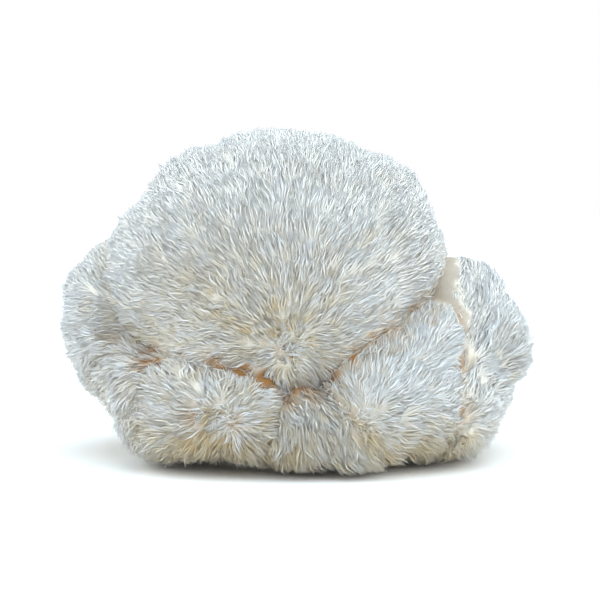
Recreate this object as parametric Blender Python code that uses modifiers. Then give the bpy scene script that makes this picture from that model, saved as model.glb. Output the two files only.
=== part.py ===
"""Lion's mane mushroom, a fresh fruiting body cut off flat at its base.

One lump grown as one piece: a broad dome over a ring of smaller rounded lobes, all covered in
leaning tufts of soft spines. Lengths below are in millimetres and are turned into metres by MM.
The cut face lies in the plane z = 0, the front of the mushroom faces -Y.
"""

import math
import random

import bmesh
import bpy
from mathutils import Euler, Matrix, Vector, noise
from mathutils.bvhtree import BVHTree

MM = 0.001
SEED = 7

# flesh and spines
SPINE_REACH = 5.2  # how far the flesh lies under the rounded form of the spine tips
FINE_CELL = 1.5  # cell of the mesh that fuses the lobes
FUSE_PASSES = 6  # smoothing passes that round the valleys between lobes
BASE_TRIANGLES = 3200  # triangles that carry one tuft each
RELAX_PASSES = 4
RELAX_FACTOR = 0.35

# tufts
TUFT_RISE = (5.2, 7.8)  # shortest and longest rise of a tuft over the flesh
TUFT_LEAN = 3.4  # sideways lean of a tuft tip, away from the middle of its whorl
TUFT_JITTER = 1.1
TUFT_DROOP = 1.4  # extra downward hang of the tufts on the undersides
SHORTEST_TUFT = 0.05
SHORTEN_STEP = 0.72
SHORTEN_ROUNDS = 24
TIP_CLEARANCE = 0.9  # lowest tuft tip above the plane of the cut
BARE_HEIGHT = 1.2  # flesh below this height carries no tufts
FULL_HEIGHT = 9.0  # flesh above this height carries full tufts

# the cut
CUT_SNAP = 0.9  # points this near the plane of the cut are moved onto it
STEM_CENTRE = (0.0, 4.0, 12.0)
STEM_RADII = (42.0, 32.0, 25.0)

# Each lobe as the rounded form that its spine tips fill: name, centre, half sizes,
# turn about Y in degrees, and the way its whorl of spines faces.
LOBES = (
    ("dome", (-10.0, 2.0, 72.2), (61.5, 52.0, 47.7), 0.0, (0.10, -0.86, -0.50)),
    ("dome_top", (-4.3, 5.0, 84.5), (53.4, 46.0, 42.0), 0.0, (0.10, -0.80, -0.60)),
    ("dome_right", (21.0, 3.0, 78.5), (35.4, 40.0, 39.9), 0.0, (-0.35, -0.72, -0.60)),
    ("dome_left", (-28.5, 4.0, 89.8), (32.3, 38.0, 30.8), 0.0, (0.45, -0.70, -0.55)),
    ("dome_front", (-8.0, -6.0, 62.0), (52.0, 46.5, 38.0), 0.0, (0.10, -0.86, -0.50)),
    ("dome_low", (-10.4, -8.0, 52.5), (41.5, 42.5, 28.5), 5.0, (0.12, -0.88, -0.45)),
    ("left_upper", (-69.8, 12.0, 62.6), (23.5, 27.0, 19.4), -35.0, (-0.50, -0.70, -0.50)),
    ("left_middle", (-75.4, 8.0, 51.0), (16.4, 25.0, 14.0), 0.0, (-0.40, -0.80, -0.40)),
    ("left_lower", (-70.5, 6.0, 42.5), (22.0, 24.0, 16.0), 35.0, (-0.30, -0.80, -0.50)),
    ("low_outer", (-55.5, -13.0, 25.0), (14.0, 22.0, 21.0), -25.0, (-0.35, -0.90, -0.20)),
    ("low_left", (-34.0, -25.0, 22.0), (22.0, 27.0, 19.5), 0.0, (0.10, -0.95, -0.25)),
    ("low_left_inner", (-20.5, -29.0, 23.0), (18.0, 24.0, 19.5), 0.0, (0.15, -0.95, -0.20)),
    ("low_middle", (3.3, -36.0, 16.0), (13.9, 16.0, 14.9), 0.0, (0.15, -0.95, -0.30)),
    ("low_bridge", (16.5, -33.0, 15.0), (12.0, 16.0, 14.0), 0.0, (0.30, -0.90, -0.30)),
    ("front_right", (33.0, -21.0, 27.5), (25.5, 30.0, 25.5), 0.0, (-0.25, -0.78, -0.58)),
    ("front_right_up", (40.0, -16.0, 34.0), (13.5, 29.0, 30.0), 30.0, (-0.25, -0.78, -0.58)),
    ("front_right_top", (46.5, -13.0, 46.0), (10.0, 25.0, 17.5), 30.0, (-0.15, -0.80, -0.58)),
    ("right", (62.8, 7.0, 40.0), (25.5, 33.0, 37.0), 0.0, (-0.10, -0.80, -0.60)),
    ("right_side", (75.6, 2.0, 43.5), (15.1, 26.0, 21.6), 0.0, (0.30, -0.85, -0.45)),
    ("right_low", (58.0, -7.0, 19.5), (20.5, 26.0, 19.5), 0.0, (-0.30, -0.90, -0.30)),
    ("back_left", (-44.5, 26.0, 36.0), (30.5, 30.0, 31.0), 0.0, (-0.20, 0.90, -0.40)),
    ("back_middle", (-6.0, 32.0, 34.0), (32.0, 29.0, 30.0), 0.0, (0.05, 0.92, -0.40)),
    ("back_right", (34.0, 25.0, 38.0), (33.0, 31.0, 34.0), 0.0, (0.20, 0.90, -0.40)),
)

# lumps that break up the even rounding of the lobes
LUMP_HEIGHT = 1.6
LUMP_SIZE = 17.0

FLESH_COLOUR = (0.80, 0.76, 0.66, 1.0)
FLESH_ROUGHNESS = 0.85


def clear_file():
    """Remove whatever the file holds."""
    for item in list(bpy.data.objects):
        bpy.data.objects.remove(item, do_unlink=True)
    for mesh in list(bpy.data.meshes):
        bpy.data.meshes.remove(mesh)


def make_collection(name):
    collection = bpy.data.collections.new(name)
    bpy.context.scene.collection.children.link(collection)
    return collection


def make_material():
    material = bpy.data.materials.new("mushroom_flesh")
    material.use_nodes = True
    shader = material.node_tree.nodes["Principled BSDF"]
    shader.inputs["Base Color"].default_value = FLESH_COLOUR
    shader.inputs["Roughness"].default_value = FLESH_ROUGHNESS
    material.diffuse_color = FLESH_COLOUR
    return material


def add_ellipsoid(builder, centre, radii, turn):
    """Add one rounded lobe to a mesh under construction."""
    place = Matrix.Translation(Vector(centre) * MM)
    place = place @ Euler((0.0, math.radians(turn), 0.0)).to_matrix().to_4x4()
    place = place @ Matrix.Diagonal((*[radius * MM for radius in radii], 1.0))
    bmesh.ops.create_icosphere(builder, subdivisions=5, radius=1.0, matrix=place)


def apply_modifiers(item):
    """Bake the modifiers of an object into its mesh."""
    depsgraph = bpy.context.evaluated_depsgraph_get()
    baked = bpy.data.meshes.new_from_object(item.evaluated_get(depsgraph))
    item.modifiers.clear()
    old = item.data
    item.data = baked
    bpy.data.meshes.remove(old)


def keep_outer_shell(mesh):
    """Fill any pocket that the lobes close in, by removing all but the widest shell."""
    builder = bmesh.new()
    builder.from_mesh(mesh)
    waiting = set(builder.verts)
    shells = []
    while waiting:
        start = waiting.pop()
        shell = [start]
        for vertex in shell:
            for edge in vertex.link_edges:
                other = edge.other_vert(vertex)
                if other in waiting:
                    waiting.remove(other)
                    shell.append(other)
        shells.append(shell)
    shells.sort(key=len)
    for shell in shells[:-1]:
        bmesh.ops.delete(builder, geom=shell, context="VERTS")
    builder.to_mesh(mesh)
    builder.free()


def grow_flesh(collection):
    """Fuse the lobes, less the reach of their spines, into one smooth closed lump."""
    builder = bmesh.new()
    for _name, centre, radii, turn, _whorl in LOBES:
        flesh_radii = [radius - SPINE_REACH for radius in radii]
        add_ellipsoid(builder, centre, flesh_radii, turn)
    add_ellipsoid(builder, STEM_CENTRE, STEM_RADII, 0.0)
    mesh = bpy.data.meshes.new("fruiting_body")
    builder.to_mesh(mesh)
    builder.free()
    body = bpy.data.objects.new("fruiting_body", mesh)
    collection.objects.link(body)

    fuse = body.modifiers.new("fuse", "REMESH")
    fuse.mode = "VOXEL"
    fuse.voxel_size = FINE_CELL * MM
    soften = body.modifiers.new("soften", "SMOOTH")
    soften.factor = 0.5
    soften.iterations = FUSE_PASSES
    apply_modifiers(body)
    keep_outer_shell(body.data)

    for vertex in body.data.vertices:
        swell = noise.noise(vertex.co / (LUMP_SIZE * MM))
        rise = min(1.0, max(0.0, vertex.co.z / (FULL_HEIGHT * MM)))
        vertex.co += vertex.normal * swell * rise * LUMP_HEIGHT * MM

    thin = body.modifiers.new("thin", "DECIMATE")
    thin.ratio = BASE_TRIANGLES / (2.0 * len(body.data.polygons))
    thin.use_collapse_triangulate = True
    even = body.modifiers.new("even", "SMOOTH")
    even.factor = RELAX_FACTOR
    even.iterations = RELAX_PASSES
    apply_modifiers(body)
    return body


def cut_base(builder):
    """Cut the lump off flat in the plane z = 0 and close the cut."""
    for vertex in builder.verts:
        if abs(vertex.co.z) < CUT_SNAP * MM:
            vertex.co.z = 0.0
    bmesh.ops.bisect_plane(
        builder,
        geom=builder.verts[:] + builder.edges[:] + builder.faces[:],
        dist=0.01 * MM,
        plane_co=(0.0, 0.0, 0.0),
        plane_no=(0.0, 0.0, 1.0),
        clear_inner=True,
    )
    rim = [edge for edge in builder.edges if edge.is_boundary]
    filled = bmesh.ops.contextual_create(builder, geom=rim)
    bmesh.ops.triangulate(builder, faces=filled["faces"])
    bmesh.ops.recalc_face_normals(builder, faces=builder.faces[:])


def nearest_lobe(point):
    """The lobe whose rounded form reaches furthest over a point."""
    best = None
    for lobe in LOBES:
        _name, centre, radii, turn, _whorl = lobe
        local = Euler((0.0, math.radians(-turn), 0.0)).to_matrix() @ (point / MM - Vector(centre))
        depth = Vector([local[i] / radii[i] for i in range(3)]).length
        if best is None or depth < best[0]:
            best = (depth, lobe)
    return best[1]


def tuft_offset(point, normal, dice):
    """The way from the middle of a face to the tip of the tuft that grows on it."""
    _name, centre, _radii, _turn, whorl = nearest_lobe(point)
    away = (point / MM - Vector(centre)).normalized()
    whorl = Vector(whorl).normalized()
    spread = away - whorl * away.dot(whorl)
    flat_spread = spread - normal * spread.dot(normal)
    lean = flat_spread * TUFT_LEAN
    toss = Vector([dice.uniform(-1.0, 1.0) for _ in range(3)])
    lean += (toss - normal * toss.dot(normal)) * TUFT_JITTER
    hang = Vector((0.0, 0.0, -1.0)) * max(0.0, -normal.z) * TUFT_DROOP
    rise = dice.uniform(*TUFT_RISE)
    height = point.z / MM
    full = min(1.0, max(0.0, (height - BARE_HEIGHT) / (FULL_HEIGHT - BARE_HEIGHT)))
    return (normal * rise + lean + hang) * full * MM


def crosses(first, second):
    """Whether two faces that share one corner, or none, pass through each other."""
    shared = [vertex for vertex in first.verts if vertex in second.verts]
    if len(shared) > 1:
        return False
    if not shared:
        return True
    corner = shared[0]
    for one, other in ((first, second), (second, first)):
        start, end = [vertex.co for vertex in one.verts if vertex is not corner]
        a, b, c = [vertex.co for vertex in other.verts]
        side = (b - a).cross(c - a)
        high = side.dot(start - a)
        low = side.dot(end - a)
        if high * low >= 0.0:
            continue
        hit = start + (end - start) * (high / (high - low))
        inside = [
            (b - a).cross(hit - a).dot(side),
            (c - b).cross(hit - b).dot(side),
            (a - c).cross(hit - c).dot(side),
        ]
        if min(inside) > 0.0:
            return True
    return False


def raise_tufts(builder):
    """Raise one leaning tuft on every face of the flesh, short enough not to cross another."""
    dice = random.Random(SEED)
    flesh = [face for face in builder.faces if face.calc_center_median().z > BARE_HEIGHT * MM]
    growth = []
    for face in flesh:
        point = face.calc_center_median()
        growth.append((point, tuft_offset(point, face.normal.copy(), dice)))
    tips = bmesh.ops.poke(builder, faces=flesh)["verts"]
    reach = {}
    for tip in tips:
        point, offset = min(growth, key=lambda entry: (entry[0] - tip.co).length_squared)
        reach[tip] = [point, offset, 1.0]

    def place(tip):
        point, offset, share = reach[tip]
        tip.co = point + offset * share
        tip.co.z = max(tip.co.z, min(point.z, TIP_CLEARANCE * MM))

    for tip in tips:
        place(tip)
    for _round in range(SHORTEN_ROUNDS):
        builder.faces.ensure_lookup_table()
        tree = BVHTree.FromBMesh(builder)
        short = set()
        for i, j in tree.overlap(tree):
            if i < j and crosses(builder.faces[i], builder.faces[j]):
                for face in (builder.faces[i], builder.faces[j]):
                    short.update(vertex for vertex in face.verts if vertex in reach)
        if not short:
            break
        for tip in short:
            reach[tip][2] = max(SHORTEST_TUFT, reach[tip][2] * SHORTEN_STEP)
            place(tip)


def main():
    clear_file()
    collection = make_collection("lions_mane_mushroom")
    body = grow_flesh(collection)
    builder = bmesh.new()
    builder.from_mesh(body.data)
    cut_base(builder)
    raise_tufts(builder)
    builder.to_mesh(body.data)
    builder.free()
    body.data.materials.clear()
    body.data.materials.append(make_material())


main()
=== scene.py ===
"""Looks of a lion's mane mushroom: smooth flesh under tens of thousands of soft pale spines.

Lengths are in millimetres unless a name says otherwise, and MM turns them into metres. The
front of the mushroom faces -Y, and its cut face lies in the plane z = 0.
"""

import math

import bmesh
import bpy
import numpy as np
from mathutils import Euler, Matrix, Vector, kdtree, noise


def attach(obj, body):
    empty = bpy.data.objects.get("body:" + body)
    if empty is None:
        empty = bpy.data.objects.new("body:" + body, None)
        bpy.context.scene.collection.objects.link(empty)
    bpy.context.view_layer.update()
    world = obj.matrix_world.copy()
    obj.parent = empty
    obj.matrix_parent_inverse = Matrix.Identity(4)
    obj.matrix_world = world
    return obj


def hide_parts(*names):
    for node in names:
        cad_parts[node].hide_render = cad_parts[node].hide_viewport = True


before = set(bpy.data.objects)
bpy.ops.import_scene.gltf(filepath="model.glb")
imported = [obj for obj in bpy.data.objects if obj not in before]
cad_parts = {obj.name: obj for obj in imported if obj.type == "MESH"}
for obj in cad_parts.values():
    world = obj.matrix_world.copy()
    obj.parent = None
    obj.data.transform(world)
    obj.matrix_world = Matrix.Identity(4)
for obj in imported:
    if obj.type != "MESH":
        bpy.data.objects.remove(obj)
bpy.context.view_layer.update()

MM = 0.001
SEED = 11
NODE = "fruiting_body"

# ---------------------------------------------------------------------------------------------
# The form: lobes as the rounded shapes that the spine tips fill

# name, bunch, centre, half sizes, turn about Y in degrees
LOBES = (
    ("dome", "dome", (-10.0, 2.0, 72.2), (61.5, 52.0, 47.7), 0.0),
    ("dome_top", "dome", (-4.3, 5.0, 84.5), (53.4, 46.0, 42.0), 0.0),
    ("dome_right", "dome", (21.0, 3.0, 78.5), (35.4, 40.0, 39.9), 0.0),
    ("dome_left", "dome", (-28.5, 4.0, 89.8), (32.3, 38.0, 30.8), 0.0),
    ("dome_front", "dome", (-8.0, -6.0, 62.0), (52.0, 46.5, 38.0), 0.0),
    ("dome_low", "dome", (-10.4, -8.0, 52.5), (41.5, 42.5, 28.5), 5.0),
    ("left_upper", "left", (-69.8, 12.0, 62.6), (23.5, 27.0, 19.4), -35.0),
    ("left_middle", "left", (-75.4, 8.0, 51.0), (16.4, 25.0, 14.0), 0.0),
    ("left_lower", "left", (-70.5, 6.0, 42.5), (22.0, 24.0, 16.0), 35.0),
    ("low_outer", "low_outer", (-55.5, -13.0, 25.0), (14.0, 22.0, 21.0), -25.0),
    ("low_left", "low_left", (-34.0, -25.0, 22.0), (22.0, 27.0, 19.5), 0.0),
    ("low_left_inner", "low_left", (-20.5, -29.0, 23.0), (18.0, 24.0, 19.5), 0.0),
    ("low_middle", "low_middle", (3.3, -36.0, 16.0), (13.9, 16.0, 14.9), 0.0),
    ("low_bridge", "low_middle", (16.5, -33.0, 15.0), (12.0, 16.0, 14.0), 0.0),
    ("front_right", "front_right", (33.0, -21.0, 27.5), (25.5, 30.0, 25.5), 0.0),
    ("front_right_up", "front_right", (40.0, -16.0, 34.0), (13.5, 29.0, 30.0), 30.0),
    ("front_right_top", "front_right", (46.5, -13.0, 46.0), (10.0, 25.0, 17.5), 30.0),
    ("right", "right", (62.8, 7.0, 40.0), (25.5, 33.0, 37.0), 0.0),
    ("right_side", "right", (75.6, 2.0, 43.5), (15.1, 26.0, 21.6), 0.0),
    ("right_low", "right", (58.0, -7.0, 19.5), (20.5, 26.0, 19.5), 0.0),
    ("back_left", "back_left", (-44.5, 26.0, 36.0), (30.5, 30.0, 31.0), 0.0),
    ("back_middle", "back_middle", (-6.0, 32.0, 34.0), (32.0, 29.0, 30.0), 0.0),
    ("back_right", "back_right", (34.0, 25.0, 38.0), (33.0, 31.0, 34.0), 0.0),
)
STEM_CENTRE = (0.0, 4.0, 12.0)
STEM_RADII = (42.0, 32.0, 25.0)

# bunch: point on its surface that its spines fan out from
WHORLS = {
    "dome": (-0.9, -50.0, 45.0),
    "left": (-52.0, -14.0, 52.0),
    "low_outer": (-48.0, -30.0, 41.0),
    "low_left": (-25.0, -53.0, 21.0),
    "low_middle": (-1.0, -36.0, 40.0),
    "front_right": (23.0, -50.0, 20.0),
    "right": (57.0, -33.0, 14.0),
    "back_left": (-54.0, 50.0, 24.0),
    "back_middle": (-12.0, 61.0, 14.0),
    "back_right": (34.0, 57.0, 36.0),
}
BUNCHES = tuple(WHORLS)
FAR = 1e3
FRONT_EDGE = (-9.0, -1.0)  # y between which stains and marks fade out toward the back

# bunch, bunch that it meets in a seam, and how far its spines keep back from there as pairs of
# height and distance; where the distance is below 0 they reach over the seam
SEAMS = (
    ("dome", "front_right", ((30.0, -4.0), (38.0, -0.9))),
    ("front_right", "dome", ((30.0, -1.5), (38.0, -0.5))),
    ("front_right", "right", ((46.0, -1.2), (53.0, 0.0), (62.0, 0.6))),
    ("right", "front_right", ((8.0, -0.5), (18.0, 0.2), (30.0, -0.3), (44.0, 0.4), (54.0, 1.5))),
    ("dome", "right", ((0.0, -2.4),)),
    ("right", "dome", ((46.0, 0.6), (54.0, 1.8), (61.0, 4.0), (69.0, 4.4), (77.0, 2.6))),
    ("dome", "low_left", ((0.0, -2.0),)),
    ("low_left", "dome", ((0.0, -1.5),)),
    ("dome", "low_middle", ((0.0, -6.0),)),
    ("low_middle", "dome", ((0.0, -1.5),)),
    ("low_left", "low_outer", ((0.0, -6.0),)),
    ("low_outer", "low_left", ((0.0, -6.0),)),
    ("dome", "low_outer", ((0.0, -3.0),)),
    ("low_outer", "dome", ((0.0, -2.0),)),
    ("left", "low_outer", ((0.0, -4.0),)),
    ("low_outer", "left", ((0.0, -3.0),)),
    ("low_left", "low_middle", ((0.0, -3.0),)),
    ("low_middle", "low_left", ((0.0, -3.0),)),
    ("low_middle", "front_right", ((0.0, -4.0),)),
    ("front_right", "low_middle", ((0.0, -4.0),)),
    ("dome", "left", ((0.0, -5.0),)),
    ("left", "dome", ((0.0, -3.0),)),
)

# brown places on the flesh of the front, seen along Y: x and z of the middle, radius, depth of
# the stain, and how much wider the seam opens there
STAINS = (
    # groove under the dome, from the left
    ((-65.5, 47.0), 5.0, 0.50, 0.5),
    ((-53.1, 40.0), 4.5, 1.00, 1.6),
    ((-36.8, 43.2), 3.5, 0.70, 0.8),
    ((-26.6, 42.1), 4.0, 1.00, 2.2),
    ((-19.1, 39.5), 4.0, 1.00, 2.7),
    ((-10.6, 34.9), 5.0, 1.00, 3.0),
    ((-3.0, 30.5), 4.0, 1.00, 1.0),
    ((5.0, 32.5), 5.0, 0.80, 0.0),
    ((12.0, 35.0), 6.0, 0.75, 0.3),
    ((22.0, 43.0), 5.0, 0.80, 0.2),
    ((32.0, 50.0), 8.0, 0.70, 0.1),
    ((45.0, 57.5), 6.0, 0.60, 0.1),
    # seam before the right lobe
    ((59.4, 38.0), 5.0, 0.50, 0.5),
    ((59.2, 22.0), 5.0, 0.50, 0.6),
    # middles of two whorls, and a spot beside one
    ((-5.5, 46.5), 3.5, 0.36, 0.0),
    ((-21.5, 21.0), 4.0, 0.42, 0.0),
    ((-35.7, 23.1), 4.5, 0.60, 0.0),
)

# tan marks on the tips of the front's spines, and broad painted shade and painted light: x and
# z of the middle, radius, depth of tone; a depth below 0 makes the tips whiter, as painted light
MARKS_LIGHT_AND_SHADE = (
    # small tan marks on the dome, and broad painted shade on its middle and left side
    ((28.9, 88.3), 2.2, 0.70),
    ((26.6, 84.9), 2.0, 0.30),
    ((13.7, 75.5), 1.8, 0.40),
    ((-4.0, 44.0), 22.0, 0.33),
    ((-8.0, 66.0), 26.0, 0.14),
    ((-42.0, 66.0), 22.0, 0.24),
    # left lobe: small tan marks, painted shade low down, painted light on its top
    ((-81.0, 57.5), 3.0, 0.45),
    ((-68.0, 52.0), 8.0, 0.20),
    ((-53.0, 44.0), 10.0, 0.25),
    ((-66.0, 36.0), 14.0, 0.14),
    ((-55.0, 38.0), 9.0, -0.06),
    ((-78.0, 64.0), 18.0, -0.18),
    # low lobes: tan and painted shade toward the cut, a brown spot, and painted light on top
    ((-35.2, 22.8), 4.5, 0.90),
    ((-45.0, 9.0), 10.0, 0.35),
    ((-32.0, 11.0), 9.0, 0.50),
    ((-19.0, 9.0), 9.0, 0.50),
    ((-20.5, 20.5), 5.0, 0.20),
    ((-16.0, 31.0), 9.0, -0.12),
    ((2.2, 5.0), 10.0, 0.40),
    # front right and right lobes: tan and painted shade low down, painted light higher up
    ((33.0, 7.0), 12.0, 0.32),
    ((42.0, 40.0), 16.0, -0.10),
    ((47.0, 5.0), 4.0, 0.50),
    ((57.8, 7.0), 11.0, 0.45),
    ((66.0, 48.0), 26.0, -0.15),
)

# places where warm tan patches, partly painted shade, show between the white ones: x and z of the
# middle, radius, depth
WARM_AND_SHADE_AREAS = (
    ((-8.0, 43.0), 32.0, 0.50),
    ((-25.0, 78.0), 34.0, 0.16),
    ((-36.0, 16.0), 30.0, 0.34),
    ((10.0, 14.0), 24.0, 0.30),
    ((50.0, 8.0), 18.0, 0.26),
)

SEAM_RAGGEDNESS = 0.9  # how unevenly the spines end at an open seam
SEAM_RAGGED_SIZE = 2.6
SEAM_RAGGED_WIDTH = 2.2  # opening beyond which the edge gets no more uneven

# ---------------------------------------------------------------------------------------------
# Sizes

FLESH_INSET = 2.8  # how far the flesh lies under the rounded form of the tips
ROUGH_CELL = 1.4  # cell of the mesh before the valleys are filled
ROUGH_SMOOTHING = 4
FLESH_CELL = 0.68
FLESH_SMOOTHING = 10
FLESH_SHARE = 0.11  # share of the flesh's triangles that are kept under the spines
# height, and how far the flesh rises in the valleys there
CREASE_FILL = ((26.0, 6.5), (32.0, 8.0), (40.0, 6.3), (50.0, 5.6), (62.0, 3.0))
CREASE_WIDTH = 6.0
LUMP_HEIGHT = 1.6
LUMP_SIZE = 17.0
LUMP_FADE = 9.0
CUT_TOLERANCE = 0.05  # faces lower than this belong to the cut
BARE_HEIGHT = 1.5  # no spines below this height, where the stem was cut
STEM_MARGIN = 1.0  # width of the bare ring round the stem
STEM_TOP = 12.0  # height up to which it is bare

SPINE_LENGTH = 8.5
SPINE_LENGTH_LOW = 9.5  # on the low lobes
LOW_HEIGHTS = (10.0, 40.0)  # heights between which the one length turns into the other
LENGTH_SPREAD = (0.72, 1.12)
LENGTH_PATCHES = 0.18  # how far the length changes from patch to patch
LENGTH_PATCH_SIZE = 4.0
SEAM_LENGTH = 0.60  # share of the length that is left at a seam
SEAM_LENGTH_REACH = 5.0
SPINE_RADIUS = 0.33
RADIUS_SPREAD = (0.82, 1.18)
ROOT_JITTER = 0.45
ROOT_SINK = 0.4  # roots start this far inside the flesh
CURVED_SHARE = 0.18  # share of the spines that bend; the rest fill in between them
CURVED_RINGS = ((0.0, 1.2), (0.55, 0.9), (1.0, 0.0))  # place along the spine, and width there
STRAIGHT_RINGS = ((0.0, 1.2), (1.0, 0.0))
RING_SIDES = 3
FLATNESS = 0.5  # thickness of a spine against its width along the skin
# y of the root, and how far a spine there is shaded like the skin that it covers
SOFT_SHADING = ((-10.0, 0.8), (25.0, 0.3))
STEPS = 6  # steps that a spine's curve is grown in
SEAM_REACH = 1.2  # distance from a seam where spines begin to bend along it
SEAM_PUSH = 0.5  # how hard they are pushed back from beyond it
MOST_SEAM_PUSH = 0.6
SLOT_EDGE = (-0.6, 0.3)  # how far out of line the roots stand at the edge of an open seam
LOWEST_TIP = 0.6
LOWEST_ROOT_RISE = 0.4  # how much higher than that a spine stays near its root
DROOP = 0.10  # how far a spine bends down under its weight

FAN_START = 2.0  # distance from a whorl's middle where its spines begin to comb outwards
FAN_FULL = 11.0
FAN_DEPTH = 0.4  # how much the depth under a whorl's middle counts in that distance
HANG_DEPTHS = (0.0, 45.0)  # y between which the dome's spines turn to hang straight down
LEAN_ROOT = 68.0  # degrees from upright at the root and the tip of a combed spine
LEAN_TIP = 87.0
MIDDLE_LEAN = 0.68  # share of that lean in the middle of a whorl
TUFT_SIZE = 3.2  # of the loose tufts in the middle of a whorl
TUFT_TANGLE = 0.15
CALM = ((30.0, 1.0), (90.0, 0.55))  # height, and how tousled the spines are there
WHORL_DRIFT = 4.5  # how far the middle of a whorl wanders from spine to spine
WHORL_DRIFT_SIZE = 8.0
SWIRL = 0.9
SWIRL_SIZE = 7.0
TANGLE = 0.42
LEAN_TANGLE = (0.5, 0.8)  # share of the tangle that goes into the lean at the root and the tip
CURL = 0.60
# share of the spines that lead a lock, and its pull, for locks within locks
LOCKS = ((0.30, 0.60), (0.10, 0.42), (0.015, 0.36))
LOCK_BEND = 1.5  # how late along a spine the pull sets in

# How white a spine is: 0 is brown, 1 is cool white; painted light and painted shade are part of it
TONE = 0.78  # on an upright side
PAINTED_LIGHT_ABOVE = 0.16  # whiter where the skin faces up: painted light from above
PAINTED_SHADE_BELOW = 0.22  # less white where it faces down: painted shade on the undersides
TAN_AND_SHADE_LOW = 0.13  # less white low down, between these heights: tan, with painted shade toward the floor
TONE_HEIGHTS = (5.0, 50.0)
TONE_PATCHES = 0.06
TONE_PATCH_SIZE = 13.0
LEAST_WARMTH = 0.05
WARM_SIZE = 4.5
WARM_EDGE = (0.0, 0.45)  # noise between which a warm patch sets in
SEAM_SHADE = 0.25  # less white beside a seam: painted shade in the valleys between lobes
SEAM_SHADE_REACH = 2.0
LOCK_TONES = 0.02  # how far the tone changes from lock to lock, and from spine to spine
SPINE_TONES = 0.03
STAINED_TONE = 0.7  # of spines that rise from stained flesh
STAIN_CHANGE = (0.7, 1.0)
LEAST_STAIN = 0.12  # spines with less than this stay clean

# Chart that the colour of the spines is baked on: the height runs up it, and the tone runs
# along its left half and the stain along its right half
CHART_MARGIN = 0.02
CHART_SPAN = 0.46
CHART_STAIN = 0.50

# The dome is parted in four pieces, at this height and, above it, at this y
CROWN_HEIGHT = 84.0
CROWN_MIDDLE = 4.0


# ---------------------------------------------------------------------------------------------
# Distance fields of the lobes


def lobe_distances(points):
    """Rough signed distance in mm from each point to each lobe."""
    out = np.empty((len(points), len(LOBES)), dtype=np.float32)
    for column, (_name, _bunch, centre, radii, turn) in enumerate(LOBES):
        local = points - np.array(centre)
        angle = math.radians(-turn)
        x = local[:, 0] * math.cos(angle) + local[:, 2] * math.sin(angle)
        z = -local[:, 0] * math.sin(angle) + local[:, 2] * math.cos(angle)
        scaled = np.stack([x / radii[0], local[:, 1] / radii[1], z / radii[2]], 1)
        slope = scaled / np.array(radii)
        size = np.linalg.norm(scaled, axis=1)
        out[:, column] = size * (size - 1.0) / (np.linalg.norm(slope, axis=1) + 1e-9)
    return out


def bunch_distances(points):
    """Rough signed distance in mm from each point to each bunch of lobes."""
    each = lobe_distances(points)
    out = np.empty((len(points), len(BUNCHES)), dtype=np.float32)
    for column, bunch in enumerate(BUNCHES):
        members = [i for i, lobe in enumerate(LOBES) if lobe[1] == bunch]
        out[:, column] = each[:, members].min(1)
    return out


def seam_margin(points, owner, slots=False):
    """How far each point lies on its own bunch's side of the nearest seam, in mm.

    With slots, only the seams that stay open count, and the margin starts at the slot's edge.
    """
    each = bunch_distances(points)
    own = each[np.arange(len(points)), owner]
    margin = 0.5 * (each - own[:, None])
    if slots:
        back = np.full(margin.shape, -FAR)
        for own_name, other_name, steps in SEAMS:
            rows = np.nonzero(owner == BUNCHES.index(own_name))[0]
            heights, distances = zip(*steps)
            back[rows, BUNCHES.index(other_name)] = np.interp(points[rows, 2], heights, distances)
        back += stain_at(points, opening=True)[:, None]
        uneven = SEAM_RAGGEDNESS * blotches(points, SEAM_RAGGED_SIZE, 41.0)
        margin -= back + uneven[:, None] * np.clip(back, 0.0, SEAM_RAGGED_WIDTH)
    margin[np.arange(len(points)), owner] = FAR
    return margin.min(1)


def spot(points, middle, radius):
    """1 in the middle of a round spot that is seen along Y, falling off to 0 round it."""
    away = np.hypot(points[:, 0] - middle[0], points[:, 2] - middle[1])
    return np.exp(-((away / radius) ** 2))


def front_share(points):
    """1 on the mushroom's front, 0 on its back."""
    return 1.0 - ramp(points[:, 1], *FRONT_EDGE)


def stain_at(points, opening=False):
    """How deep the brown stain is at each point, or how much wider the seam opens there."""
    front = front_share(points)
    total = np.zeros(len(points))
    for middle, radius, depth, gap in STAINS:
        share = front * spot(points, middle, radius)
        total = np.maximum(total, share * (gap if opening else depth))
    return total


def unit(vectors):
    """The same directions, at length 1."""
    return vectors / (np.linalg.norm(vectors, axis=1, keepdims=True) + 1e-9)


def ramp(values, low, high):
    """Smooth rise from 0 at low to 1 at high."""
    t = np.clip((values - low) / (high - low), 0.0, 1.0)
    return t * t * (3.0 - 2.0 * t)


def blotches(points, size, shift=0.0):
    """Smooth noise between about -1 and 1 at each point. Each shift gives a noise of its own."""
    return np.array([noise.noise(Vector(p / size) + Vector((shift, 0.0, 0.0))) for p in points])


# ---------------------------------------------------------------------------------------------
# Flesh


def add_ellipsoid(builder, centre, radii, turn):
    """Add an ellipsoid that is turned about Y."""
    place = Matrix.Translation(Vector(centre) * MM)
    place = place @ Euler((0.0, math.radians(turn), 0.0)).to_matrix().to_4x4()
    place = place @ Matrix.Diagonal((*[radius * MM for radius in radii], 1.0))
    bmesh.ops.create_icosphere(builder, subdivisions=5, radius=1.0, matrix=place)


def bake(item):
    """Apply all modifiers of an object."""
    depsgraph = bpy.context.evaluated_depsgraph_get()
    baked = bpy.data.meshes.new_from_object(item.evaluated_get(depsgraph))
    item.modifiers.clear()
    item.data = baked


def fuse(item, cell, passes):
    """Turn overlapping shells into one even mesh, and round its valleys."""
    join = item.modifiers.new("join", "REMESH")
    join.mode = "VOXEL"
    join.voxel_size = cell * MM
    join.use_smooth_shade = True
    soften = item.modifiers.new("soften", "SMOOTH")
    soften.factor = 0.5
    soften.iterations = passes
    bake(item)


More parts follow.
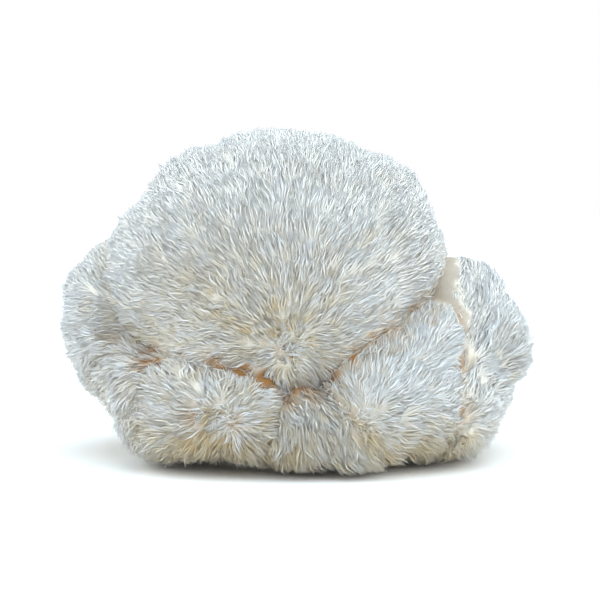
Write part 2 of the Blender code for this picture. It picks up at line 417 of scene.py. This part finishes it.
def widest_shell(mesh):
    """Keep only the widest shell, which fills the pockets between the lobes."""
    builder = bmesh.new()
    builder.from_mesh(mesh)
    waiting = set(builder.verts)
    shells = []
    while waiting:
        shell = [waiting.pop()]
        for vertex in shell:
            for edge in vertex.link_edges:
                other = edge.other_vert(vertex)
                if other in waiting:
                    waiting.remove(other)
                    shell.append(other)
        shells.append(shell)
    shells.sort(key=len)
    for shell in shells[:-1]:
        bmesh.ops.delete(builder, geom=shell, context="VERTS")
    builder.to_mesh(mesh)
    builder.free()


def read_points(mesh):
    """Vertex places and normals of a mesh, places in mm."""
    places = np.empty(len(mesh.vertices) * 3, dtype=np.float32)
    mesh.vertices.foreach_get("co", places)
    normals = np.empty(len(mesh.vertices) * 3, dtype=np.float32)
    mesh.vertex_normals.foreach_get("vector", normals)
    return places.reshape(-1, 3) / MM, normals.reshape(-1, 3).copy()


def write_points(mesh, places):
    """Move the vertices of a mesh to places in mm."""
    mesh.vertices.foreach_set("co", (places * MM).astype(np.float32).ravel())
    mesh.update()


def make_flesh():
    """Fuse the lobes, fill the valleys between them and raise low lumps."""
    builder = bmesh.new()
    for _name, _bunch, centre, radii, turn in LOBES:
        add_ellipsoid(builder, centre, [radius - FLESH_INSET for radius in radii], turn)
    add_ellipsoid(builder, STEM_CENTRE, STEM_RADII, 0.0)
    mesh = bpy.data.meshes.new("flesh")
    builder.to_mesh(mesh)
    builder.free()
    flesh = bpy.data.objects.new("flesh", mesh)
    bpy.context.scene.collection.objects.link(flesh)
    fuse(flesh, ROUGH_CELL, ROUGH_SMOOTHING)
    widest_shell(flesh.data)

    places, normals = read_points(flesh.data)
    owner = bunch_distances(places).argmin(1)
    margin = seam_margin(places, owner)
    rise = np.interp(places[:, 2], *zip(*CREASE_FILL))
    fill = rise * np.exp(-((margin / CREASE_WIDTH) ** 2))
    lumps = LUMP_HEIGHT * blotches(places * MM, LUMP_SIZE * MM)
    fade = np.clip(places[:, 2] / LUMP_FADE, 0.0, 1.0)
    places += normals * ((fill + lumps) * fade)[:, None]
    write_points(flesh.data, places)
    fuse(flesh, FLESH_CELL, FLESH_SMOOTHING)
    widest_shell(flesh.data)
    return flesh


def thin_flesh(flesh):
    """Drop most of the flesh's triangles, which only had to be fine to place the spines."""
    thin = flesh.modifiers.new("thin", "DECIMATE")
    thin.ratio = FLESH_SHARE
    bake(flesh)


def cut_flesh(flesh):
    """Cut the flesh off flat in the plane z = 0."""
    builder = bmesh.new()
    builder.from_mesh(flesh.data)
    bmesh.ops.bisect_plane(
        builder,
        geom=builder.verts[:] + builder.edges[:] + builder.faces[:],
        dist=0.01 * MM,
        plane_co=(0.0, 0.0, 0.0),
        plane_no=(0.0, 0.0, 1.0),
        clear_inner=True,
    )
    rim = [edge for edge in builder.edges if edge.is_boundary]
    filled = bmesh.ops.contextual_create(builder, geom=rim)
    bmesh.ops.triangulate(builder, faces=filled["faces"])
    bmesh.ops.recalc_face_normals(builder, faces=builder.faces[:])
    for face in builder.faces:
        face.smooth = face.calc_center_median().z > CUT_TOLERANCE * MM
    builder.to_mesh(flesh.data)
    builder.free()


# ---------------------------------------------------------------------------------------------
# Spines


def flow_at(places, normals, owner):
    """The way that spines lie over at each place, and how far over they lie, from 0 to 1."""
    middles = np.array([WHORLS[bunch] for bunch in BUNCHES])[owner]
    drift = [blotches(places, WHORL_DRIFT_SIZE, shift) for shift in (11.0, 23.0, 37.0)]
    away = places - middles + WHORL_DRIFT * np.stack(drift, 1)
    upright = (away * normals).sum(1)
    reach = np.linalg.norm(away - normals * upright[:, None], axis=1) + FAN_DEPTH * np.abs(upright)
    flow = unit(away)
    behind = ramp(places[:, 1], *HANG_DEPTHS) * (owner == BUNCHES.index("dome"))
    hang = np.array([0.0, 0.0, -1.0])
    flow = flow * (1.0 - behind[:, None]) + hang * behind[:, None]
    flow -= normals * (flow * normals).sum(1)[:, None]
    over = ramp(reach, FAN_START, FAN_FULL)
    return unit(flow), over


def grow_spines(places, normals, dice):
    """Curves of all spines, with their bunch and lock."""
    count = len(places)
    owner = bunch_distances(places).argmin(1)
    flow, over = flow_at(places, normals, owner)
    margin = seam_margin(places, owner, slots=True)

    side = unit(np.cross(normals, flow))
    calm = np.interp(places[:, 2], *zip(*CALM))
    swirl = SWIRL * blotches(places * MM, SWIRL_SIZE * MM, 3.0)
    toss = dice.normal(0.0, TANGLE, (count, 2)) * calm[:, None]
    heading = unit(flow + side * (toss[:, 0] + swirl * calm)[:, None])
    loose = np.stack([blotches(places, TUFT_SIZE, shift) for shift in (51.0, 57.0, 63.0)], 1)
    loose += dice.normal(0.0, TUFT_TANGLE, (count, 3))
    loose = unit(loose - normals * (loose * normals).sum(1)[:, None])
    heading = unit(heading * over[:, None] + loose * (1.0 - over)[:, None])
    sideways = np.cross(normals, heading)
    curl = dice.normal(0.0, CURL, count) * calm

    length = np.interp(places[:, 2], LOW_HEIGHTS, (SPINE_LENGTH_LOW, SPINE_LENGTH))
    length = length * dice.uniform(*LENGTH_SPREAD, count)
    length *= 1.0 + LENGTH_PATCHES * blotches(places * MM, LENGTH_PATCH_SIZE * MM, 5.0)
    length *= SEAM_LENGTH + (1.0 - SEAM_LENGTH) * ramp(margin, 0.0, SEAM_LENGTH_REACH)
    lying = MIDDLE_LEAN + (1.0 - MIDDLE_LEAN) * over
    lean_root = np.radians(LEAN_ROOT) * lying + toss[:, 1] * LEAN_TANGLE[0]
    lean_tip = np.radians(LEAN_TIP) * lying + toss[:, 1] * LEAN_TANGLE[1]

    curve = [places - normals * ROOT_SINK]
    here = curve[0].copy()
    for step in range(STEPS):
        share = (step + 0.5) / STEPS
        lean = lean_root + (lean_tip - lean_root) * share
        turn = (curl * share)[:, None]
        ahead = heading * np.cos(turn) + sideways * np.sin(turn)
        course = normals * np.cos(lean)[:, None] + ahead * np.sin(lean)[:, None]
        course = unit(course + np.array([0.0, 0.0, -DROOP * share]))
        course = turn_from_seam(here, course, owner)
        here = here + course * (length / STEPS)[:, None]
        here[:, 2] = np.maximum(here[:, 2], LOWEST_TIP + LOWEST_ROOT_RISE * (1.0 - share))
        curve.append(here)
    curve, lock = gather_locks(np.stack(curve, 1), places, dice)
    curve[:, :, 2] = np.maximum(curve[:, :, 2], LOWEST_TIP)
    return curve, owner, lock


def turn_from_seam(here, course, owner):
    """Bend a course along a seam instead of across it."""
    margin = seam_margin(here, owner, slots=True)
    near = np.nonzero(margin < SEAM_REACH)[0]
    if len(near) == 0:
        return course
    step = 0.3
    slope = np.empty((len(near), 3))
    for axis in range(3):
        shift = np.zeros(3)
        shift[axis] = step
        ahead = seam_margin(here[near] + shift, owner[near], slots=True)
        slope[:, axis] = (ahead - margin[near]) / step
    slope = unit(slope)
    into = np.minimum((course[near] * slope).sum(1), 0.0)
    push = np.clip(-SEAM_PUSH * margin[near], 0.0, MOST_SEAM_PUSH)
    course = course.copy()
    course[near] = unit(course[near] - slope * into[:, None] + slope * push[:, None])
    return course


def gather_locks(curve, places, dice):
    """Draw the tips of neighbouring spines together into locks within locks."""
    count = len(places)
    first = None
    for share, strength in LOCKS:
        heads = dice.choice(count, int(count * share), replace=False)
        tree = kdtree.KDTree(len(heads))
        for row, head in enumerate(heads):
            tree.insert(places[head], row)
        tree.balance()
        chosen = np.array([heads[tree.find(p)[1]] for p in places])
        pull = strength * np.linspace(0.0, 1.0, curve.shape[1]) ** LOCK_BEND
        curve = curve + (curve[chosen] - curve) * pull[None, :, None]
        first = chosen if first is None else first
    return curve, first


def sample_curve(curve, spots):
    """Points at the given shares of each curve's length."""
    spots = np.array(spots) * (curve.shape[1] - 1)
    low = np.minimum(spots.astype(int), curve.shape[1] - 2)
    part = (spots - low)[None, :, None]
    return curve[:, low] * (1.0 - part) + curve[:, low + 1] * part


def spine_corners(rings, radii, widths, outward, soft):
    """Corners of every spine, ring by ring and the tip last, and the ways that they are shaded."""
    bands = len(widths) - 1
    points = []
    shading = []
    for ring in range(bands):
        ahead = unit(rings[:, min(ring + 1, bands)] - rings[:, max(ring - 1, 0)])
        across = unit(np.cross(ahead, outward))
        upward = np.cross(ahead, across)
        for corner in range(RING_SIDES):
            angle = 2.0 * math.pi * (corner + 0.25) / RING_SIDES
            turn = across * math.cos(angle) + upward * math.sin(angle) * FLATNESS
            points.append(rings[:, ring] + turn * (radii * widths[ring])[:, None])
            shading.append(unit(unit(turn) * (1.0 - soft) + outward * soft))
    points.append(rings[:, bands])
    shading.append(unit(ahead * (1.0 - soft) + outward * soft))
    return np.stack(points, 1), np.stack(shading, 1)


def spine_faces(bands):
    """Triangles of one closed spine: its sides, its pointed end and its root."""
    faces = []
    for ring in range(bands - 1):
        for corner in range(RING_SIDES):
            a = ring * RING_SIDES + corner
            b = ring * RING_SIDES + (corner + 1) % RING_SIDES
            faces.append((a, b, b + RING_SIDES))
            faces.append((a, b + RING_SIDES, a + RING_SIDES))
    last = (bands - 1) * RING_SIDES
    tip = bands * RING_SIDES
    for corner in range(RING_SIDES):
        faces.append((last + corner, last + (corner + 1) % RING_SIDES, tip))
    faces.append(tuple(range(RING_SIDES))[::-1])
    return np.array(faces)


def build_mesh(name, points, faces, shading):
    """A mesh of triangles with shading normals of its own."""
    mesh = bpy.data.meshes.new(name)
    mesh.vertices.add(len(points))
    mesh.vertices.foreach_set("co", (points * MM).astype(np.float32).ravel())
    mesh.loops.add(len(faces) * 3)
    mesh.loops.foreach_set("vertex_index", faces.astype(np.int32).ravel())
    mesh.polygons.add(len(faces))
    mesh.polygons.foreach_set("loop_start", np.arange(0, len(faces) * 3, 3, dtype=np.int32))
    mesh.polygons.foreach_set("use_smooth", np.ones(len(faces), dtype=bool))
    mesh.update(calc_edges=True)
    mesh.normals_split_custom_set_from_vertices(shading)
    return mesh


def add_values(mesh, values):
    """Keep numbers for each vertex, for the materials to read."""
    for title, numbers in values.items():
        layer = mesh.attributes.new(title, "FLOAT", "POINT")
        layer.data.foreach_set("value", numbers.astype(np.float32))


def add_chart(mesh, corners, per_spine, height, tone, stain):
    """The chart that the colours are baked on, in which every spine is a narrow upright strip."""
    local = corners % per_spine
    sway = np.where(local == per_spine - 1, 0.5, (local % RING_SIDES) / (RING_SIDES - 1.0))
    clean = CHART_MARGIN + CHART_SPAN * tone
    shade = np.where(stain > 0.0, CHART_STAIN + CHART_SPAN * stain, clean)
    u = shade[corners // per_spine] + CHART_MARGIN * sway
    v = CHART_MARGIN + (1.0 - 2.0 * CHART_MARGIN) * height[corners]
    chart = mesh.uv_layers.new(name="OFBake")
    chart.data.foreach_set("uv", np.stack([u, v], 1).astype(np.float32).ravel())


def spine_piece(name, shape, curve, roots, radii, outward, tone, stain):
    """One object of closed tapered spines that follow their curves.

    Its shading normals lean from each spine's own sides toward the skin's outward direction. It
    keeps what colours a spine: its height over the flesh, its tone, and its stain.
    """
    spots, widths = zip(*shape)
    bands = len(spots) - 1
    rings = sample_curve(curve, spots)
    soft = np.interp(roots[:, 1], *zip(*SOFT_SHADING))[:, None]
    points, shading = spine_corners(rings, radii, widths, outward, soft)
    count, per_spine = points.shape[:2]
    faces = spine_faces(bands)[None] + per_spine * np.arange(count)[:, None, None]
    faces = faces.reshape(-1, 3)
    mesh = build_mesh(name, points.reshape(-1, 3), faces, shading.reshape(-1, 3))

    height = ((rings - roots[:, None]) * outward[:, None]).sum(2) / FLESH_INSET
    height = np.clip(height, 0.0, 1.0)
    sides = np.repeat(height[:, :bands], RING_SIDES, axis=1)
    height = np.concatenate([sides, height[:, bands:]], 1).ravel()
    tones = np.repeat(tone, per_spine)
    stains = np.repeat(stain, per_spine)
    add_values(mesh, {"height": height, "tone": tones, "stain": stains})
    add_chart(mesh, faces.ravel(), per_spine, height, tone, stain)

    piece = bpy.data.objects.new(name, mesh)
    bpy.context.scene.collection.objects.link(piece)
    return piece


def spine_tones(places, normals, owner, tips, lock, dice):
    """How white each spine is: 0 is brown, 1 is cool white. Painted light and painted shade are
    part of it.
    """
    tone = np.full(len(places), TONE)
    # painted light on skin that faces up, painted shade on skin that faces down
    tone += PAINTED_LIGHT_ABOVE * np.clip(normals[:, 2], -0.4, 1.0)
    tone -= PAINTED_SHADE_BELOW * ramp(-normals[:, 2], 0.15, 0.95)
    # tan and painted shade low down
    tone -= TAN_AND_SHADE_LOW * (1.0 - ramp(places[:, 2], *TONE_HEIGHTS))
    # painted shade in the valleys beside the seams
    tone -= SEAM_SHADE * np.exp(-((seam_margin(places, owner) / SEAM_SHADE_REACH) ** 2))
    tone += TONE_PATCHES * blotches(places * MM, TONE_PATCH_SIZE * MM, 7.0)
    # warm tan patches between the white ones, partly painted shade
    warmth = np.full(len(places), LEAST_WARMTH)
    for middle, radius, depth in WARM_AND_SHADE_AREAS:
        warmth = np.maximum(warmth, depth * spot(places, middle, radius))
    tone -= warmth * ramp(blotches(places, WARM_SIZE, 9.0), *WARM_EDGE)
    tone += dice.normal(0.0, LOCK_TONES, len(places))[lock]
    tone += dice.normal(0.0, SPINE_TONES, len(places))
    front = front_share(places)
    # tan marks, and broad painted shade and painted light, on the front's tips
    for middle, radius, depth in MARKS_LIGHT_AND_SHADE:
        tone -= depth * front * spot(tips, middle, radius)
    return np.clip(tone, 0.0, 1.0)


def make_spines(flesh):
    """Grow the spines of every bunch, as one piece for each region."""
    dice = np.random.default_rng(SEED)
    places, normals = read_points(flesh.data)
    slide = dice.uniform(-ROOT_JITTER, ROOT_JITTER, places.shape)
    slide -= normals * (slide * normals).sum(1)[:, None]
    places = places + slide
    stem = np.hypot(
        (places[:, 0] - STEM_CENTRE[0]) / (STEM_RADII[0] + STEM_MARGIN),
        (places[:, 1] - STEM_CENTRE[1]) / (STEM_RADII[1] + STEM_MARGIN),
    )
    under = (stem < 1.0) & (places[:, 2] < STEM_TOP)
    owner = bunch_distances(places).argmin(1)
    bare = seam_margin(places, owner, slots=True) < dice.uniform(*SLOT_EDGE, len(places))
    keep = (places[:, 2] > BARE_HEIGHT) & ~bare & ~under
    places, normals = places[keep], normals[keep]

    curve, owner, lock = grow_spines(places, normals, dice)
    radii = SPINE_RADIUS * dice.uniform(*RADIUS_SPREAD, len(places))
    tone = spine_tones(places, normals, owner, curve[:, -1], lock, dice)
    stain = stain_at(places) * dice.uniform(*STAIN_CHANGE, len(places))
    stained = stain > LEAST_STAIN
    stain[~stained] = 0.0
    tone[stained] = STAINED_TONE
    curved = dice.random(len(places)) < CURVED_SHARE

    names = np.array(BUNCHES)[owner]
    dome = names == "dome"
    front = places[:, 1] < 0.0
    high = places[:, 2] > CROWN_HEIGHT
    regions = {
        "dome_front": dome & front & ~high,
        "crown_front": dome & high & (places[:, 1] < CROWN_MIDDLE),
        "crown_back": dome & high & (places[:, 1] >= CROWN_MIDDLE),
        "dome_back": dome & ~front & ~high,
        "left": names == "left",
        "low_left": np.isin(names, ("low_outer", "low_left", "low_middle")),
        "front_right": names == "front_right",
        "right": names == "right",
        "back": np.isin(names, ("back_left", "back_middle", "back_right")),
    }
    pieces = []
    for region, inside in regions.items():
        for kind, shape, chosen in (
            ("curved", CURVED_RINGS, inside & curved),
            ("straight", STRAIGHT_RINGS, inside & ~curved),
        ):
            own = [each[chosen] for each in (curve, places, radii, normals, tone, stain)]
            pieces.append(spine_piece(f"{kind}_spines_{region}", shape, *own))
    return pieces


# ---------------------------------------------------------------------------------------------
# Materials

STAIN_COLOUR = (0.37, 0.175, 0.05, 1.0)
STAIN_SPREAD = 1.5  # how much deeper the flesh is stained than the spines
CREASE_STAIN = ((54.0, 0.5), (62.0, 0.15))  # height, and how deeply the flesh is stained in creases
CREASE_STAIN_WIDTH = 1.1
CLEAN_FOOT = 6.0  # height below which the stain fades out
# paler flesh under the spines: painted light that lifts the shade in the gaps between them
COVERED_COLOUR = (0.78, 0.73, 0.63, 1.0)
COVER_REACH = 1.5  # distance from an open seam at which spines cover the flesh


def colour_ramp(nodes, stops):
    """A ramp node through colours at the given positions."""
    node = nodes.new("ShaderNodeValToRGB")
    node.color_ramp.elements[0].position = stops[0][0]
    node.color_ramp.elements[0].color = (*stops[0][1], 1.0)
    node.color_ramp.elements[1].position = stops[-1][0]
    node.color_ramp.elements[1].color = (*stops[-1][1], 1.0)
    for place, colour in stops[1:-1]:
        node.color_ramp.elements.new(place).color = (*colour, 1.0)
    return node


def attribute(nodes, name):
    """The numbers that a mesh keeps under a name."""
    node = nodes.new("ShaderNodeAttribute")
    node.attribute_name = name
    return node.outputs["Fac"]


def spine_material():
    """Tan at the root and pale at the tip, warmer where the tone is low. The tan deep among the
    spines is partly painted shade, and the cool white of high tones is painted light.
    """
    material = bpy.data.materials.new("spine")
    material.use_nodes = True
    nodes = material.node_tree.nodes
    links = material.node_tree.links
    shader = nodes["Principled BSDF"]
    # tan roots, which also paint shade deep among the spines
    root = colour_ramp(
        nodes,
        (
            (0.0, (0.64, 0.46, 0.26)),
            (0.45, (0.77, 0.65, 0.48)),
            (0.75, (0.81, 0.75, 0.65)),
            (0.95, (0.89, 0.86, 0.80)),
        ),
    )
    tip = colour_ramp(
        nodes,
        (
            (0.0, (0.74, 0.60, 0.39)),
            (0.3, (0.88, 0.80, 0.67)),
            (0.55, (0.88, 0.86, 0.81)),
            (0.68, (0.88, 0.89, 0.89)),
            # the coolest whites, which the up-facing tops get, are painted cool light
            (0.8, (0.88, 0.93, 0.97)),
            (1.0, (0.83, 0.935, 1.0)),
        ),
    )
    tone = attribute(nodes, "tone")
    links.new(tone, root.inputs["Fac"])
    links.new(tone, tip.inputs["Fac"])
    brown = nodes.new("ShaderNodeMix")
    brown.data_type = "RGBA"
    brown.inputs["B"].default_value = STAIN_COLOUR
    links.new(attribute(nodes, "stain"), brown.inputs["Factor"])
    links.new(root.outputs["Color"], brown.inputs["A"])
    # root colour deep down and tip colour high up: partly painted shade by depth
    rise = nodes.new("ShaderNodeMapRange")
    rise.interpolation_type = "SMOOTHSTEP"
    rise.inputs["From Min"].default_value = 0.15
    rise.inputs["From Max"].default_value = 0.95
    links.new(attribute(nodes, "height"), rise.inputs["Value"])
    blend = nodes.new("ShaderNodeMix")
    blend.data_type = "RGBA"
    links.new(rise.outputs["Result"], blend.inputs["Factor"])
    links.new(brown.outputs["Result"], blend.inputs["A"])
    links.new(tip.outputs["Color"], blend.inputs["B"])
    links.new(blend.outputs["Result"], shader.inputs["Base Color"])
    shader.inputs["Subsurface Weight"].default_value = 0.8
    shader.inputs["Subsurface Radius"].default_value = (0.94, 0.97, 1.0)
    shader.inputs["Subsurface Scale"].default_value = 0.0005
    shader.inputs["Specular IOR Level"].default_value = 0.2
    shader.inputs["Sheen Weight"].default_value = 0.25
    shader.inputs["Sheen Roughness"].default_value = 0.5
    shader.inputs["Sheen Tint"].default_value = (0.90, 0.96, 1.0, 1.0)
    gloss = nodes.new("ShaderNodeMapRange")
    gloss.inputs["To Min"].default_value = 0.85
    gloss.inputs["To Max"].default_value = 0.62
    links.new(tone, gloss.inputs["Value"])
    links.new(gloss.outputs["Result"], shader.inputs["Roughness"])
    return material


def flesh_material():
    """Cream flesh with fine pores and brown in the creases; the bare flesh a dull beige that is
    partly painted shade, and paler under the spines as painted light that lifts the shade in the
    gaps.
    """
    material = bpy.data.materials.new("flesh")
    material.use_nodes = True
    nodes = material.node_tree.nodes
    links = material.node_tree.links
    shader = nodes["Principled BSDF"]
    coordinates = nodes.new("ShaderNodeTexCoord")
    spots = nodes.new("ShaderNodeTexNoise")
    spots.inputs["Scale"].default_value = 160.0
    spots.inputs["Detail"].default_value = 5.0
    links.new(coordinates.outputs["Object"], spots.inputs["Vector"])
    # dull beige of the bare flesh, partly painted shade
    tint = colour_ramp(nodes, ((0.3, (0.43, 0.375, 0.305)), (0.7, (0.49, 0.435, 0.365))))
    links.new(spots.outputs["Fac"], tint.inputs["Fac"])
    # paler where spines cover the flesh: painted light
    under = nodes.new("ShaderNodeMix")
    under.data_type = "RGBA"
    under.inputs["B"].default_value = COVERED_COLOUR
    links.new(attribute(nodes, "cover"), under.inputs["Factor"])
    links.new(tint.outputs["Color"], under.inputs["A"])
    brown = nodes.new("ShaderNodeMix")
    brown.data_type = "RGBA"
    brown.inputs["B"].default_value = STAIN_COLOUR
    links.new(attribute(nodes, "stain"), brown.inputs["Factor"])
    links.new(under.outputs["Result"], brown.inputs["A"])
    links.new(brown.outputs["Result"], shader.inputs["Base Color"])
    shader.inputs["Roughness"].default_value = 0.7
    pores = nodes.new("ShaderNodeTexNoise")
    pores.inputs["Scale"].default_value = 900.0
    pores.inputs["Detail"].default_value = 3.0
    links.new(coordinates.outputs["Object"], pores.inputs["Vector"])
    bump = nodes.new("ShaderNodeBump")
    bump.inputs["Strength"].default_value = 0.35
    bump.inputs["Distance"].default_value = 0.0006
    links.new(pores.outputs["Fac"], bump.inputs["Height"])
    links.new(bump.outputs["Normal"], shader.inputs["Normal"])
    return material


def mark_flesh(flesh):
    """Mark where the flesh is stained, and where spines cover it."""
    places, _normals = read_points(flesh.data)
    owner = bunch_distances(places).argmin(1)
    margin = seam_margin(places, owner)
    depth = np.interp(places[:, 2], *zip(*CREASE_STAIN))
    crease = depth * np.exp(-((margin / CREASE_STAIN_WIDTH) ** 2))
    stain = np.maximum(crease, np.clip(STAIN_SPREAD * stain_at(places), 0.0, 1.0))
    stain *= np.clip(places[:, 2] / CLEAN_FOOT, 0.0, 1.0)
    cover = ramp(seam_margin(places, owner, slots=True), 0.0, COVER_REACH)
    add_values(flesh.data, {"stain": stain, "cover": cover})


# ---------------------------------------------------------------------------------------------
# Stage, in metres and degrees

TARGET = (0.0015, 0.0, 0.0600)
CAMERA_DISTANCE = 0.55
CAMERA_RISE = 5.0
CAMERA_LENS = 86.0
CAMERA_SENSOR = 36.0
FLOOR_SIZE = 3.0
FLOOR_GAP = 0.0001  # keeps the floor clear of the cut face
SUN_SPREAD = 60.0
# name, the side that it shines from, strength, colour
SUNS = (
    ("key", (0.10, -0.10, 1.00), 1.95, (0.78, 0.92, 1.0)),
    ("left", (-1.00, -0.05, 0.50), 2.20, (0.84, 0.945, 1.0)),
    ("right", (1.00, -0.20, 0.50), 2.15, (0.84, 0.945, 1.0)),
)
SKY_LIGHT = 0.62


def make_camera():
    camera = bpy.data.objects.new("camera", bpy.data.cameras.new("camera"))
    bpy.context.scene.collection.objects.link(camera)
    rise = math.radians(CAMERA_RISE)
    offset = Vector((0.0, -math.cos(rise), math.sin(rise))) * CAMERA_DISTANCE
    camera.location = Vector(TARGET) + offset
    camera.rotation_euler = (-offset).to_track_quat("-Z", "Y").to_euler()
    camera.data.lens = CAMERA_LENS
    camera.data.sensor_width = CAMERA_SENSOR
    camera.data.clip_start = 0.01
    bpy.context.scene.camera = camera


def make_floor():
    builder = bmesh.new()
    bmesh.ops.create_grid(builder, x_segments=1, y_segments=1, size=FLOOR_SIZE)
    mesh = bpy.data.meshes.new("floor")
    builder.to_mesh(mesh)
    builder.free()
    floor = bpy.data.objects.new("floor", mesh)
    floor.location.z = -FLOOR_GAP
    bpy.context.scene.collection.objects.link(floor)
    material = bpy.data.materials.new("floor")
    material.use_nodes = True
    shader = material.node_tree.nodes["Principled BSDF"]
    shader.inputs["Base Color"].default_value = (0.92, 0.92, 0.92, 1.0)
    shader.inputs["Roughness"].default_value = 0.9
    mesh.materials.append(material)


def add_sun(name, place, strength, colour):
    """A broad soft light that reaches the whole floor evenly, from the side of a place."""
    light = bpy.data.lights.new(name, "SUN")
    light.angle = math.radians(SUN_SPREAD)
    light.energy = strength
    light.color = colour
    item = bpy.data.objects.new(name, light)
    bpy.context.scene.collection.objects.link(item)
    item.rotation_euler = (-Vector(place)).to_track_quat("-Z", "Y").to_euler()


def make_light():
    """Three suns and a pale sky, with a white backdrop for the camera alone."""
    for sun in SUNS:
        add_sun(*sun)
    world = bpy.data.worlds.new("studio")
    world.use_nodes = True
    nodes = world.node_tree.nodes
    links = world.node_tree.links
    sky = nodes["Background"]
    sky.inputs["Color"].default_value = (0.96, 0.985, 1.0, 1.0)
    sky.inputs["Strength"].default_value = SKY_LIGHT
    backdrop = nodes.new("ShaderNodeBackground")
    backdrop.inputs["Color"].default_value = (1.0, 1.0, 1.0, 1.0)
    backdrop.inputs["Strength"].default_value = 1.0
    path = nodes.new("ShaderNodeLightPath")
    either = nodes.new("ShaderNodeMixShader")
    links.new(path.outputs["Is Camera Ray"], either.inputs["Fac"])
    links.new(sky.outputs["Background"], either.inputs[1])
    links.new(backdrop.outputs["Background"], either.inputs[2])
    links.new(either.outputs["Shader"], nodes["World Output"].inputs["Surface"])
    bpy.context.scene.world = world
    bpy.context.scene.view_settings.view_transform = "Standard"


# ---------------------------------------------------------------------------------------------


def main():
    make_camera()
    make_floor()
    make_light()
    flesh = make_flesh()
    spines = make_spines(flesh)
    thin_flesh(flesh)
    cut_flesh(flesh)
    mark_flesh(flesh)
    flesh.data.materials.clear()
    flesh.data.materials.append(flesh_material())
    spine = spine_material()
    for piece in spines:
        piece.data.materials.append(spine)
    for piece in [flesh, *spines]:
        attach(piece, "root")
        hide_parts(NODE)


main()
